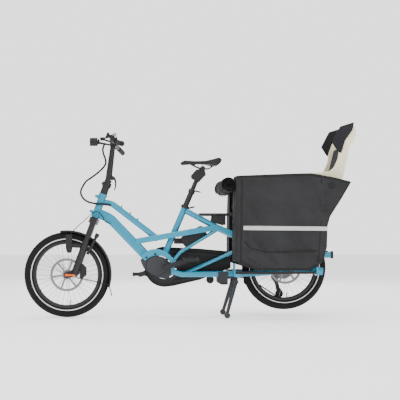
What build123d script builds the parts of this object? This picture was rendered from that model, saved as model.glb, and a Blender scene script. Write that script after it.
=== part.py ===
"""Longtail cargo bicycle with a mid drive, a fabric passenger enclosure and a child seat.

Millimetres. X points to the rear, Y to the drive side, Z up. Everything is first placed with
x = 0 at the front axle and z = 0 on the ground, and is then moved so that the origin is at the
middle of the overall length. The bicycle stands on its front tyre and its two stand feet, with
the rear tyre lifted, as a centre stand holds it.
"""

import math
import os

from build123d import *

# ---------------------------------------------------------------- driving dimensions
TYRE_R = 263.0  # 62-406 tyre: half of 406 plus the 60 mm tyre height
TYRE_W = 62.0
TYRE_WALL = 4.0
RIM_OUT_R = 209.0
RIM_IN_R = 188.0
RIM_W = 34.0
RIM_WALL = 2.2
WHEELBASE = 1347.0
REAR_LIFT = 43.0  # how high the stand holds the rear tyre
HEAD_TILT = 19.7  # degrees from upright
RAKE = 42.0
SEAT_TILT = 23.2
SEAT_TUBE_TOP = (732.0, 689.0)
SEAT_TUBE_LENGTH = 312.0
BB = (603.0, 308.0)
CRANK_LENGTH = 160.0
CRANK_ANGLE = 18.0  # of the left crank above level, to the rear
HEAD_BOTTOM_S = 390.0  # along the steering axis, from the foot of the front axle's offset
HEAD_LENGTH = 153.0
HINGE_S = 604.0  # where the handlepost folds
BAR_CENTRE = (277.0, 1083.0)
BAR_HALF_WIDTH = 325.0
FRONT_SPACING = 110.0
REAR_SPACING = 148.0
LEG_Y = 64.0
STANCHION_R = 17.0
LOWER_R = 21.0
ROTOR_R = 101.5
ROTOR_T = 2.0
CHAIN_Y = 62.0
CHAIN_PITCH = 12.7
CHAIN_HEIGHT = 8.4
CHAIN_INSIDE = 1.6  # from the middle of the chain to its plates
CHAIN_PLATE = 1.0
RING_TEETH = 48
SPROCKET_TEETH = (13, 16, 20, 24, 28, 32, 36)
CHAIN_SPROCKET = 2  # which of them the chain is on, counted from the smallest
SPROCKET_STEP = 4.4
SPROCKET_T = 1.6
TOOTH = 2.0  # tooth tip beyond the pitch radius
PULLEY_TEETH = 11
GUIDE_PULLEY = (1302.0, 245.0)
TENSION_PULLEY = (1326.0, 138.0)
IDLERS = ((890.0, 226.5), (1125.0, 216.5))
RUN_GAP = 0.3  # between pieces that move past each other
FIT_GAP = 0.06  # a shaft in its bearing
SPOKES = 36
SPOKE_R = 1.1
FENDER_R = 271.0
FENDER_T = 2.5
POST_R = 17.0
UPPER_POST_R = 13.6
FRAME_WALL = 2.2
DECK_Z = 634.0
BAG_Y = 276.0
BAG_T = 2.0
SEAT_HALF = 160.0  # child seat, half width outside
SEAT_WALL = 8.0
SEAT_PAN_Z = 676.0
CRANK_Y = 76.0  # inner face of a crank arm
PLATE_Y = REAR_SPACING / 2  # inner face of a rear dropout
PLATE_T = 10.0

FRONT_AXLE = (0.0, TYRE_R)
REAR_AXLE = (WHEELBASE, TYRE_R + REAR_LIFT)


# ---------------------------------------------------------------- helpers
def pitch_radius(teeth):
    return CHAIN_PITCH / (2 * math.sin(math.pi / teeth))


def rod(a, b, r):
    a, b = Vector(a), Vector(b)
    return Solid.make_cylinder(r, (b - a).length, Plane(origin=a, z_dir=b - a))


def cone(a, b, r_a, r_b):
    a, b = Vector(a), Vector(b)
    return Solid.make_cone(r_a, r_b, (b - a).length, Plane(origin=a, z_dir=b - a))


def hollow_rod(a, b, r, wall):
    return rod(a, b, r) - rod(a, b, r - wall)


def disc(x, z, r, y0, y1):
    return rod((x, y0, z), (x, y1, z), r)


def ring(x, z, r_in, r_out, y0, y1):
    return disc(x, z, r_out, y0, y1) - disc(x, z, r_in, y0, y1)


def swept(points, bend, section):
    """A section carried along straight runs joined by arcs; its first axis lies along Y."""
    path = FilletPolyline(*points, radius=bend)
    start = Plane(origin=path @ 0, x_dir=(0, 1, 0), z_dir=path % 0)
    return sweep(start * section, path=path)


def pipe(points, bend, r):
    return swept(points, bend, Circle(r))


def box_tube(points, bend, width, height, corner, wall=FRAME_WALL):
    """(whole, hollow): a rounded rectangular tube, width along Y."""
    whole = swept(points, bend, RectangleRounded(width, height, corner))
    inside = RectangleRounded(width - 2 * wall, height - 2 * wall, corner - wall / 2)
    return whole, whole - swept(points, bend, inside)


def side_plate(points, y0, y1, corner=0.0):
    """A plate drawn in side view as (x, z) points and made from y0 to y1."""
    face = Face(Wire.make_polygon([(x, y0, z) for x, z in points], close=True))
    if corner:
        face = face.fillet_2d(corner, face.vertices())
    return Solid.extrude(face, Vector(0, y1 - y0, 0))


def plan_plate(points, z0, z1, corner=0.0):
    """A plate drawn in plan view as (x, y) points and made from z0 to z1."""
    face = Face(Wire.make_polygon([(x, y, z0) for x, y in points], close=True))
    if corner:
        face = face.fillet_2d(corner, face.vertices())
    return Solid.extrude(face, Vector(0, 0, z1 - z0))


def block(x0, x1, y0, y1, z0, z1):
    return plan_plate([(x0, y0), (x1, y0), (x1, y1), (x0, y1)], z0, z1)


def around(centre, r, degrees):
    """The (x, z) point at that radius and angle; 0 points to the rear and 90 up."""
    a = math.radians(degrees)
    return centre[0] + r * math.cos(a), centre[1] + r * math.sin(a)


def band(centre, r_in, r_out, a0, a1, y0, y1):
    """Part of a ring in side view, from angle a0 to a1."""
    mid = (a0 + a1) / 2
    p = {
        (r, a): Vector(*(lambda q: (q[0], y0, q[1]))(around(centre, r, a)))
        for r in (r_in, r_out)
        for a in (a0, mid, a1)
    }
    wire = Wire(
        [
            Edge.make_three_point_arc(p[r_out, a0], p[r_out, mid], p[r_out, a1]),
            Edge.make_line(p[r_out, a1], p[r_in, a1]),
            Edge.make_three_point_arc(p[r_in, a1], p[r_in, mid], p[r_in, a0]),
            Edge.make_line(p[r_in, a0], p[r_out, a0]),
        ]
    )
    return Solid.extrude(Face(wire), Vector(0, y1 - y0, 0))


def turned(profile, centre):
    """A profile of (radius, y) points turned about an axle through centre."""
    face = Face(Wire.make_polygon([(r, y, 0) for r, y in profile], close=True))
    return Pos(centre[0], 0, centre[1]) * Solid.revolve(face, 360, Axis.Y)


def joined(shapes):
    """Pieces that meet or overlap, as one solid."""
    whole, *rest = shapes
    for shape in rest:
        whole = whole.fuse(shape)
    return whole


def both(shape):
    """A left piece and its mirror image on the right."""
    return [shape, mirror(shape, about=Plane.XZ)]


def cut(shape, *tools):
    for tool in tools:
        shape = shape - tool
    return shape


def largest(shape):
    return max(shape.solids(), key=lambda s: s.volume)


def solids_of(shape):
    if isinstance(shape, (list, tuple)):
        return [solid for part in shape for solid in solids_of(part)]
    return list(shape.solids())


# ---------------------------------------------------------------- the two tilted frames
def tilted(degrees, x, z):
    """A place whose own Z leans to the rear by that angle, and whose own X points to the rear."""
    a = math.radians(degrees)
    return Plane(
        origin=(x, 0, z),
        x_dir=(math.cos(a), 0, -math.sin(a)),
        z_dir=(math.sin(a), 0, math.cos(a)),
    ).location


HEAD_SIN, HEAD_COS = math.sin(math.radians(HEAD_TILT)), math.cos(math.radians(HEAD_TILT))
STEER_FOOT = (RAKE * HEAD_COS, TYRE_R - RAKE * HEAD_SIN)
STEER = tilted(HEAD_TILT, *STEER_FOOT)
SEAT = tilted(SEAT_TILT, *SEAT_TUBE_TOP)


def steer_point(a, y, s):
    """World place of a point a behind the steering axis and s along it."""
    return (
        STEER_FOOT[0] + s * HEAD_SIN + a * HEAD_COS,
        y,
        STEER_FOOT[1] + s * HEAD_COS - a * HEAD_SIN,
    )


def seat_point(a, y, s):
    sin, cos = math.sin(math.radians(SEAT_TILT)), math.cos(math.radians(SEAT_TILT))
    return (
        SEAT_TUBE_TOP[0] + s * sin + a * cos,
        y,
        SEAT_TUBE_TOP[1] + s * cos - a * sin,
    )


# ---------------------------------------------------------------- frame tubes
HEAD_R = 24.0
HEAD_BORE_R = 18.5
HEAD_TOP_S = HEAD_BOTTOM_S + HEAD_LENGTH
TOP_TUBE_R = 19.0
SEAT_TUBE_R = 19.4
DOWN_TUBE = (50.0, 60.0)  # width, height
RAIL = (26.0, 36.0)
CHAINSTAY = (24.0, 33.0)
RAIL_PATH = [
    (425, 14, 468),
    (580, 31, 495),
    (745, 60, 524),
    (924, 62, 555),
    (1298, 77, 385),
    (1627, 77, 385),
]
CHAINSTAY_PATH = [(650, 44, 282), (705, 44, 264), (1050, 44, 266), (1110, 49, 267), (1240, 80, 275), (1322, 80, 300)]
TAIL_PATH_END = 1578.0
PLATE_OUTLINE = [(1312, 372), (1400, 372), (1395, 330), (1374, 285), (1318, 282), (1300, 310)]


def head_tube():
    """The shell around the steerer, with two bosses for a front rack."""
    outer = STEER * Pos(0, 0, HEAD_BOTTOM_S) * Solid.make_cylinder(HEAD_R, HEAD_LENGTH)
    collar = [
        STEER * Pos(0, 0, s) * Solid.make_cylinder(HEAD_R + 3, 16)
        for s in (HEAD_BOTTOM_S, HEAD_TOP_S - 16)
    ]
    bosses = [
        rod(steer_point(-HEAD_R + 4, 0, s), steer_point(-HEAD_R - 20, 0, s), 10)
        for s in (HEAD_BOTTOM_S + 28, HEAD_TOP_S - 26)
    ]
    bore = STEER * Pos(0, 0, HEAD_BOTTOM_S - 1) * Solid.make_cylinder(HEAD_BORE_R, HEAD_LENGTH + 2)
    whole = joined([outer, *collar, *bosses])
    return whole, joined([s - bore for s in (outer, *collar, *bosses)])


def top_tube():
    path = [steer_point(0, 0, 488), (270, 0, 706), (562, 0, 481)]
    whole = pipe(path, 90, TOP_TUBE_R)
    return whole, whole - pipe(path, 90, TOP_TUBE_R - FRAME_WALL)


def down_tube():
    path = [steer_point(4, 0, 421), (262, 0, 612), (492, 0, 372)]
    return box_tube(path, 110, *DOWN_TUBE, 16)


def seat_tube():
    whole = SEAT * Pos(0, 0, -SEAT_TUBE_LENGTH) * Solid.make_cylinder(SEAT_TUBE_R, SEAT_TUBE_LENGTH)
    bore = SEAT * Pos(0, 0, 6 - SEAT_TUBE_LENGTH) * Solid.make_cylinder(POST_R + FIT_GAP, SEAT_TUBE_LENGTH)
    return whole, whole - bore


def motor_bracket():
    """The bridge over the drive unit that the tubes are welded to: arch, rear leg and side walls."""

    def arch(y0, y1, inset):
        outer = [(452 + inset, 374 - inset), (548, 420 - inset), (657 - inset, 350 - inset)]
        inner = [(637, 340), (556, 381), (480, 349)]
        p = [Vector(x, y0, z) for x, z in outer]
        q = [Vector(x, y0, z) for x, z in inner]
        leg = [Vector(x, y0, z) for x, z in ((662 - inset, 300), (672 - inset, 262 + inset), (640, 262 + inset))]
        edges = [
            Edge.make_three_point_arc(*p),
            Edge.make_line(p[2], leg[0]),
            Edge.make_line(leg[0], leg[1]),
            Edge.make_line(leg[1], leg[2]),
            Edge.make_line(leg[2], q[0]),
            Edge.make_three_point_arc(*q),
            Edge.make_line(q[2], p[0]),
        ]
        return Solid.extrude(Face(Wire(edges)), Vector(0, y1 - y0, 0))

    half = 54.0
    whole = arch(-half, half, 0)
    return whole, whole - arch(-half + 4, half - 4, 4)


def drive_body():
    """The drive unit's casing with its side cover and the boss round the spindle."""
    front = [(451, 356), (458, 330), (473, 301), (502, 276), (558, 246), (608, 236), (640, 258)]
    back = [(658, 262), (656, 300), (634, 338), (596, 368), (551, 379), (500, 372)]
    body = side_plate(front + back, -49.5, 49.5, 5)
    cover = side_plate([around((548, 318), 60, a) for a in range(0, 360, 24)], -60, -49, 6)
    return joined([body, cover, disc(*BB, 30, -62, 56)])


def frame_parts():
    """Every welded tube, each cut back to the ones it is welded onto."""
    head_whole, head = head_tube()
    top_whole, top = top_tube()
    down_whole, down = down_tube()
    seat_whole, seat = seat_tube()
    bracket_whole, bracket = motor_bracket()
    rail_whole, rail = box_tube(RAIL_PATH, [60, 60, 60, 70], *RAIL, 7)
    stay_whole, stay = box_tube(CHAINSTAY_PATH, [40, 60, 60, 50], *CHAINSTAY, 7)
    rails_whole = both(rail_whole)
    stays_whole = both(stay_whole)

    tail = box_tube([(1362, 79, 303), (TAIL_PATH_END - 60, 79, 291), (TAIL_PATH_END, 79, 291)], 60, 22, 32, 6)[1]
    plate = cut(
        side_plate(PLATE_OUTLINE, PLATE_Y, PLATE_Y + PLATE_T, 6),
        disc(*REAR_AXLE, 6.0 + FIT_GAP, 60, 100),
        *stays_whole,
        *rails_whole,
    )
    hub_room = disc(*REAR_AXLE, 32, -PLATE_Y, PLATE_Y)
    tail = cut(tail, plate, hub_room)
    motor_whole = drive_body()

    upper = cone((735, 13, 656), (922, 60, 557), 18, 15)
    upper_in = cone((735, 13, 656), (922, 60, 557), 18 - FRAME_WALL, 15 - FRAME_WALL)
    clamp_room = rod(seat_point(0, 0, -18.3), seat_point(0, 0, 6), 26.3)
    upper = cut(upper - upper_in, seat_whole, *rails_whole, clamp_room, block(700, 950, -80, 0, 500, 760))
    stay_path = [(640, 46, 330), (700, 48.4, 402), (930, 62, 542)]
    thin_whole = pipe(stay_path, 60, 9.5)
    thin = cut(thin_whole - pipe(stay_path, 60, 7.6), bracket_whole, motor_whole, *rails_whole, *stays_whole)
    brace_ends = (738, 40, 274), (1146, 58, 454)
    brace = cut(hollow_rod(*brace_ends, 8, 1.9), *stays_whole, *rails_whole)
    bridge_ends = (648, 8, 507), (648, 52, 507)
    bridge = cut(hollow_rod(*bridge_ends, 10, 2), seat_whole, *rails_whole)

    return {
        "head_tube": head,
        "top_tube": largest(cut(top, head_whole, *rails_whole)),
        "down_tube": largest(cut(down, head_whole, top_whole, bracket_whole, motor_whole)),
        "seat_tube": largest(cut(seat, bracket_whole)),
        "motor_bracket": bracket,
        "side_rails": both(largest(cut(rail, down_whole))),
        "chainstays": both(largest(cut(stay, bracket_whole, hub_room)))
        + both(largest(plate))
        + both(largest(tail)),
        "frame_braces": [s for part in (upper, thin, brace, bridge) for s in both(largest(part))],
    }




# ---------------------------------------------------------------- wheels
TYRE_MID = TYRE_R - TYRE_W / 2
BEAD_R = 207.0
HUB_BORE = {"front": 7.5, "rear": 6.0}


def oval(r, half_y, half_r):
    """A closed tyre section as (radius, y) points."""
    steps = range(0, 360, 20)
    return [
        (r + half_r * math.cos(math.radians(a)), half_y * math.sin(math.radians(a))) for a in steps
    ]


def tyre(centre, rim_whole):
    outer = turned(oval(TYRE_MID, TYRE_W / 2, TYRE_W / 2), centre)
    inner = turned(oval(TYRE_MID, TYRE_W / 2 - TYRE_WALL, TYRE_W / 2 - TYRE_WALL), centre)
    return cut(outer - inner, disc(*centre, BEAD_R, -TYRE_W, TYRE_W), rim_whole)


def rim(centre):
    half = RIM_W / 2
    outer = [(RIM_IN_R, -8), (RIM_IN_R + 5, -half), (RIM_OUT_R, -half)]
    outer += [(r, -y) for r, y in reversed(outer)]
    w = RIM_WALL
    inner = [(RIM_OUT_R, -half + w), (RIM_IN_R + 5 + w, -half + w), (RIM_IN_R + w, -8)]
    inner += [(r, -y) for r, y in reversed(inner)]
    return turned(outer, centre), turned(outer[:3] + inner + outer[3:], centre)


def spokes(centre, flange_ys, flange_r):
    """Half of the spokes to each flange, leaning alternately each way round."""
    made = []
    for i in range(SPOKES):
        flange_y = flange_ys[i % 2]
        lean = 26 if (i // 2) % 2 else -26
        at_rim = 360.0 * i / SPOKES
        hx, hz = around(centre, flange_r - 1.5, at_rim + lean)
        rx, rz = around(centre, RIM_IN_R + RIM_WALL - 0.4, at_rim)
        stagger = 1.4 if (i // 2) % 2 else -1.4
        made.append(rod((hx, flange_y + stagger, hz), (rx, 0, rz), SPOKE_R))
    return made


def hub(centre, bore, half, flange_ys, flange_r, shell_r, rotor_y):
    low, high = half
    pieces = [
        disc(*centre, shell_r, low, high),
        *(disc(*centre, flange_r, y - 3.2, y + 3.2) for y in flange_ys),
    ]
    rotor = ring(*centre, ROTOR_R - 15, ROTOR_R, rotor_y - ROTOR_T / 2, rotor_y + ROTOR_T / 2)
    arms = [
        side_plate(
            [around(centre, shell_r - 2, a - 16), around(centre, ROTOR_R - 13, a + 4), around(centre, ROTOR_R - 13, a + 12), around(centre, shell_r - 2, a + 16)],
            rotor_y - ROTOR_T / 2,
            rotor_y + ROTOR_T / 2,
        )
        for a in range(0, 360, 60)
    ]
    return joined([*pieces, rotor, *arms]) - disc(*centre, bore + FIT_GAP, low - 1, high + 1)


FRONT_HALF = FRONT_SPACING / 2
REAR_HALF = REAR_SPACING / 2
FRONT_ROTOR_Y = -37.0
REAR_ROTOR_Y = -56.0
CASSETTE_INNER = CHAIN_Y - SPROCKET_STEP * (len(SPROCKET_TEETH) - 1 - CHAIN_SPROCKET) - 5


def wheels():
    made = {}
    for name, centre in (("front", FRONT_AXLE), ("rear", REAR_AXLE)):
        rim_whole, rim_shape = rim(centre)
        front = name == "front"
        flange_ys = (-24, 28) if front else (-36, 28)
        flange_r = 29 if front else 32
        half = (-FRONT_HALF + RUN_GAP, FRONT_HALF - RUN_GAP) if front else (-REAR_HALF + RUN_GAP, CASSETTE_INNER - RUN_GAP)
        made[f"{name}_tyre"] = tyre(centre, rim_whole)
        made[f"{name}_rim"] = rim_shape
        made[f"{name}_spokes"] = spokes(centre, flange_ys, flange_r)
        made[f"{name}_hub"] = hub(
            centre, HUB_BORE[name], half, flange_ys, flange_r, 17 if front else 20, FRONT_ROTOR_Y if front else REAR_ROTOR_Y
        )
    return made


# ---------------------------------------------------------------- fork and front end
CROWN_S = (348.0, 386.0)
LOWER_TOP_S = 233.0
STEERER_R = 14.3
HINGE_PIN_R = 7.0
FRONT_DROP_Y = FRONT_SPACING / 2


def front_end():
    made = {}
    s0, s1 = CROWN_S
    steerer = STEER * Pos(0, 0, s0) * Solid.make_cylinder(STEERER_R, HEAD_TOP_S + 30 - s0)
    race = STEER * Pos(0, 0, s1) * Solid.make_cylinder(22, HEAD_BOTTOM_S - s1 - RUN_GAP)
    half = [(-20, -86), (20, -86), (30, -50), (30, 50), (20, 86), (-20, 86), (-28, 50), (-28, -50)]
    crown = STEER * plan_plate(half, s0, s1)
    hollow = STEER * Pos(0, 0, s0 - 5) * Solid.make_cylinder(STEERER_R - 2.5, HEAD_TOP_S + 40 - s0)
    legs = both(hollow_rod(steer_point(0, -LEG_Y, 92), steer_point(0, -LEG_Y, s0 + 10), STANCHION_R, 2.5))
    made["fork_crown"] = joined([crown, race, steerer, *legs]) - hollow

    made["headset"] = [
        STEER * Pos(0, 0, s) * (Solid.make_cylinder(HEAD_BORE_R, 10) - Solid.make_cylinder(STEERER_R + FIT_GAP, 10))
        for s in (HEAD_BOTTOM_S + 1, HEAD_TOP_S - 11)
    ]

    base = STEER * Pos(0, 0, HEAD_TOP_S + RUN_GAP) * Solid.make_cylinder(23, HINGE_S - HEAD_TOP_S - 14)
    flange = STEER * Pos(0, 0, HINGE_S - 14) * Solid.make_cylinder(28, 14)
    made["stem_base"] = cut(joined([base, flange]), made["fork_crown"], hinge_pin(HINGE_PIN_R + FIT_GAP))

    lower = rod(steer_point(0, -LEG_Y, 14), steer_point(0, -LEG_Y, LOWER_TOP_S), LOWER_R)
    bore = rod(steer_point(0, -LEG_Y, 30), steer_point(0, -LEG_Y, LOWER_TOP_S + 1), STANCHION_R + FIT_GAP)
    drop = side_plate(
        [(-16, 250), (0, 243), (18, 250), (72, 262), (70, 300), (40, 296), (12, 282), (-14, 276)],
        -LEG_Y - 8,
        -FRONT_DROP_Y,
        5,
    )
    side = joined([lower - bore, drop - bore])
    arch = swept(
        [steer_point(0, -43, 190), steer_point(0, -43, 283), steer_point(0, 43, 283), steer_point(0, 43, 190)],
        20,
        RectangleRounded(7, 26, 3),
    )
    arch = largest(cut(arch, *both(side), *both(bore)))
    made["fork_lowers"] = [*both(side - disc(*FRONT_AXLE, 7.5, -90, 90)), arch]
    lowers = joined([*both(side), arch])

    axle = disc(*FRONT_AXLE, 7.5, -LEG_Y - 10, LEG_Y + 12)
    cap = [disc(*FRONT_AXLE, 9, -LEG_Y - 24, -LEG_Y - 8), disc(*FRONT_AXLE, 12, LEG_Y + 8, LEG_Y + 14)]
    lever = side_plate([(-8, 258), (-6, 270), (51, 267), (51, 257)], -LEG_Y - 27.5, -LEG_Y - 22, 3)
    made["front_axle"] = joined([axle, *cap, lever])

    caliper = side_plate([(66, 246), (96, 240), (121, 262), (121, 306), (100, 330), (66, 330)], -60, -24, 4)
    slot = disc(*FRONT_AXLE, ROTOR_R + 3, FRONT_ROTOR_Y - 2, FRONT_ROTOR_Y + 2)
    pocket = disc(*FRONT_AXLE, ROTOR_R - 21, -61, -20)
    made["front_caliper"] = largest(cut(caliper, slot, pocket, lowers))
    control = side_plate([(-5, 424), (4, 400), (26, 396), (34, 420), (34, 510), (-5, 510)], -LEG_Y - 12, -LEG_Y + 16, 4)
    arm = side_plate([(30, 430), (110, 426), (110, 446), (30, 456)], -LEG_Y - 6, -LEG_Y + 2)
    made["brake_control_box"] = largest(cut(joined([control, arm]), lowers, bore))

    outer, inner = FENDER_R + FENDER_T, FENDER_R
    guard = [
        band(FRONT_AXLE, inner, outer, -17, 99, -34, 34),
        *both(band(FRONT_AXLE, inner - 9, outer, -17, 99, -36, -33)),
        side_plate([(256, 196), (260, 196), (278, 128), (274, 126)], -38, 38),
    ]
    stays = both(rod((262, -35, 200), (14, -61, 254), 2))
    made["front_fender"] = cut(joined([*guard, *stays]), lowers, disc(*FRONT_AXLE, 12, -90, 90))
    tube = joined([rod((126, -70, 388), (185, -70, 504), 9), rod((180, -70, 494), (191, -70, 515), 13)])
    clip = side_plate([(100, 420), (150, 424), (150, 436), (100, 432)], -74, -64)
    made["fork_tube"] = largest(cut(joined([tube, clip]), lowers, bore))
    return made


def hinge_pin(r):
    """The handlepost's hinge: it lies askew, ahead of the post and to the left."""
    c = math.sqrt(0.5)
    mid = steer_point(-26 * c, -26 * c, HINGE_S)
    along = Vector(*steer_point(c, -c, 0)) - Vector(*steer_point(0, 0, 0))
    a = Vector(*mid) - along * 15
    b = Vector(*mid) + along * 15
    return rod(a, b, r)


def post_parts():
    made = {}
    foot = steer_point(0, 0, HINGE_S + RUN_GAP)
    knee = steer_point(0, 0, HINGE_S + 34)
    flange = STEER * Pos(0, 0, HINGE_S + RUN_GAP) * Solid.make_cylinder(28, 14)
    lower = rod(foot, knee, 21)
    upper = cone(knee, (281, 0, 1056), 20, 15.5)
    clamp = side_plate([(263, 1053), (300, 1053), (309, 1064), (309, 1086), (296, 1098), (268, 1098), (263, 1092)], -27, 27, 4)
    bar_whole, bar = handlebar()
    ears = [(4, 640), (30, 646), (38, 656), (30, 666), (4, 670)]
    ear = side_plate([steer_point(a, 0, s)[::2] for a, s in ears], -12.5, -9 - RUN_GAP)
    pin = rod(steer_point(31, -11, 656), steer_point(31, 11, 656), 3)
    post = joined([flange, lower, upper, clamp, *both(ear), pin])
    made["handlepost"] = cut(post, bar_whole, hinge_pin(HINGE_PIN_R + FIT_GAP))
    made["handlebar"] = bar
    grip_a, grip_b = (340, -BAR_HALF_WIDTH - 2, 1042), (313.5, -206, 1060.5)
    grip = cut(rod(grip_a, grip_b, 15.5), bar_whole)
    made["grips"] = both(largest(grip))
    made["hinge_pin"] = hinge_pin(HINGE_PIN_R)

    light = [
        rod((139.5, 0, 1083), (186, 0, 1083), 26),
        cone((186, 0, 1083), (197, 0, 1080), 24, 12),
        side_plate([(186, 1072), (264, 1060), (264, 1070), (186, 1086)], -7, 7),
    ]
    made["headlight"] = cut(joined(light), made["handlepost"])
    pods = [
        side_plate([(232, 1104), (262, 1110), (268, 1118), (254, 1142), (246, 1136)], -30, 18, 2),
        block(262, 272, -14, 10, 1094, 1112),
        rod((280, -62, 1083), (280, -44, 1083), 17),
        rod((278, -52, 1090), (278, -52, 1122), 15),
        rod((280, 50, 1083), (280, 70, 1083), 17),
        rod((216, 60, 1098), (216, 60, 1117), 16),
        side_plate([(214, 1098), (222, 1098), (284, 1080), (284, 1092), (222, 1108)], 54, 66),
    ]
    groups = [joined(pods[:2]), joined(pods[2:4]), joined(pods[4:]), perch(-1), perch(1)]
    made["bar_controls"] = [largest(cut(g, bar_whole, made["handlepost"])) for g in groups]
    made["brake_lever_left"] = brake_lever(-1)
    made["brake_lever_right"] = brake_lever(1)
    made["fold_lever"] = fold_lever()
    return made


def handlebar():
    mid = (BAR_CENTRE[0], 0, BAR_CENTRE[1])
    points = [
        (340, -BAR_HALF_WIDTH, 1042),
        (299, -140, 1070),
        (mid[0], -60, mid[2]),
        (mid[0], 60, mid[2]),
        (299, 140, 1070),
        (340, BAR_HALF_WIDTH, 1042),
    ]
    whole = pipe(points, 60, 11.1)
    return whole, whole - pipe(points, 60, 8.9)


LEVER_PIN = (286.0, 171.0, 1112.0)
LEVER_PIN_R = 2.5
LEVER_BOSS_R = 7.0
LEVER_BOSS_HALF = 6.0
LEVER_RUN = (24.0, 128.0, -13.0)
LEVER_OPENS = Vector(-20, 0, 45)
LUG_R = 3.2
LUG_RUN = 13.8
LUG_DROP = 31.0


def lever_point(side, along):
    """A place on the axis of a brake lever's pin, which is square to the blade and to its swing."""
    x, y, z = LEVER_RUN
    axis = Vector(x, side * y, z).cross(LEVER_OPENS).normalized()
    place = Vector(LEVER_PIN[0], side * LEVER_PIN[1], LEVER_PIN[2]) + axis * along
    return (place.X, place.Y, place.Z)


def brake_lever(side):
    """A blade ahead of and above the grip, turning on the pin between the perch's two lugs."""
    x, y, z = LEVER_PIN
    blade = [
        rod((x, side * y, z), (x + 8, side * (y + 60), z + 1), 4.5),
        rod((x + 8, side * (y + 58), z + 1), (x + 24, side * (y + 136), z - 12), 4.5),
        rod(lever_point(side, -LEVER_BOSS_HALF), lever_point(side, LEVER_BOSS_HALF), LEVER_BOSS_R),
    ]
    reach = 2 * LEVER_BOSS_HALF
    return cut(joined(blade), rod(lever_point(side, -reach), lever_point(side, reach), LEVER_PIN_R + FIT_GAP))


def perch(side):
    """The lever's clamp on the bar, with two lugs that carry the lever's pin."""
    lug_at = LEVER_BOSS_HALF + 4.5
    sides = sorted((side * 172, side * 186))
    pieces = [
        rod((300, side * 168, 1069), (306, side * 190, 1066), 16),
        side_plate([(268, 1082), (288, 1098), (312, 1086), (300, 1062)], *sides, 2),
        rod(lever_point(side, -lug_at), lever_point(side, lug_at), LEVER_PIN_R),
    ]
    for along in (-lug_at, lug_at):
        x, y, z = lever_point(side, along)
        pieces.append(rod((x - 0.8, y, z + 1.8), (x + LUG_RUN, side * 177, z - LUG_DROP), LUG_R))
    return joined(pieces)


def fold_lever():
    pts = [(26, 660), (36, 664), (52, 640), (60, 606), (58, 588), (52, 588), (52, 604), (44, 632)]
    world = [steer_point(a, 0, s) for a, s in pts]
    plate = side_plate([(p[0], p[2]) for p in world], -9, 9)
    return cut(plate, rod(steer_point(31, -12, 656), steer_point(31, 12, 656), 3 + FIT_GAP))


# ---------------------------------------------------------------- posts and saddle
LOWER_POST_TOP = 109.0
UPPER_POST_TOP = 165.0


def seat_parts():
    made = {}
    lower = rod(seat_point(0, 0, -200), seat_point(0, 0, LOWER_POST_TOP), POST_R)
    collar = rod(seat_point(0, 0, 86), seat_point(0, 0, LOWER_POST_TOP), 21)
    lever = side_plate([(788, 786), (824, 776), (826, 768), (788, 776)], -26, -14, 2)
    bore = rod(seat_point(0, 0, -201), seat_point(0, 0, LOWER_POST_TOP + 1), UPPER_POST_R + FIT_GAP)
    made["lower_seatpost"] = largest(joined([lower, collar, lever]) - bore)
    tube = rod(seat_point(0, 0, -60), seat_point(0, 0, UPPER_POST_TOP + 30), UPPER_POST_R)
    head = side_plate([(797, 913), (848, 921), (858, 881), (813, 834), (769, 857), (765, 877)], -22, 22, 4)
    clamp = disc(837, 921, 15, -30, 30)
    rails = both(pipe([(761, -22, 949), (817, -22, 921), (857, -22, 917), (880, -22, 918), (902, -22, 938)], 12, 3.5))
    made["upper_seatpost"] = largest(cut(joined([tube, head, clamp]), *rails))
    profile = side_plate(
        [(698, 950), (706, 962), (726, 970), (790, 966), (857, 966), (900, 976), (936, 986), (952, 976), (950, 960), (932, 940), (896, 936), (860, 946), (816, 948), (746, 944), (706, 940)],
        -90,
        90,
    )
    plan = plan_plate(
        [(694, -16), (700, -22), (760, -28), (820, -40), (880, -74), (920, -84), (956, -70), (956, 70), (920, 84), (880, 74), (820, 40), (760, 28), (700, 22), (694, 16)],
        900,
        1000,
    )
    body = profile & plan
    made["saddle"] = [largest(cut(body, *rails)), *rails]
    ring_clamp = rod(seat_point(0, 0, -18), seat_point(0, 0, 1), 26) - SEAT * Pos(0, 0, -30) * Solid.make_cylinder(SEAT_TUBE_R, 40)
    knob = rod(seat_point(22, 0, -8), seat_point(54, 0, 16), 5)
    made["seat_clamp"] = largest(cut(joined([ring_clamp, knob]), SEAT * Pos(0, 0, -30) * Solid.make_cylinder(SEAT_TUBE_R, 40)))
    return made


# ---------------------------------------------------------------- drive
def chain_circles():
    """Centre, pitch radius and turning sense of each thing the chain runs on, in order."""
    cog = SPROCKET_TEETH[CHAIN_SPROCKET]
    pulley = pitch_radius(PULLEY_TEETH)
    return [
        (BB, pitch_radius(RING_TEETH), 1),
        (IDLERS[0], pulley, -1),
        (IDLERS[1], pulley, -1),
        (TENSION_PULLEY, pulley, 1),
        (GUIDE_PULLEY, pulley, -1),
        (REAR_AXLE, pitch_radius(cog), 1),
    ]


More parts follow.
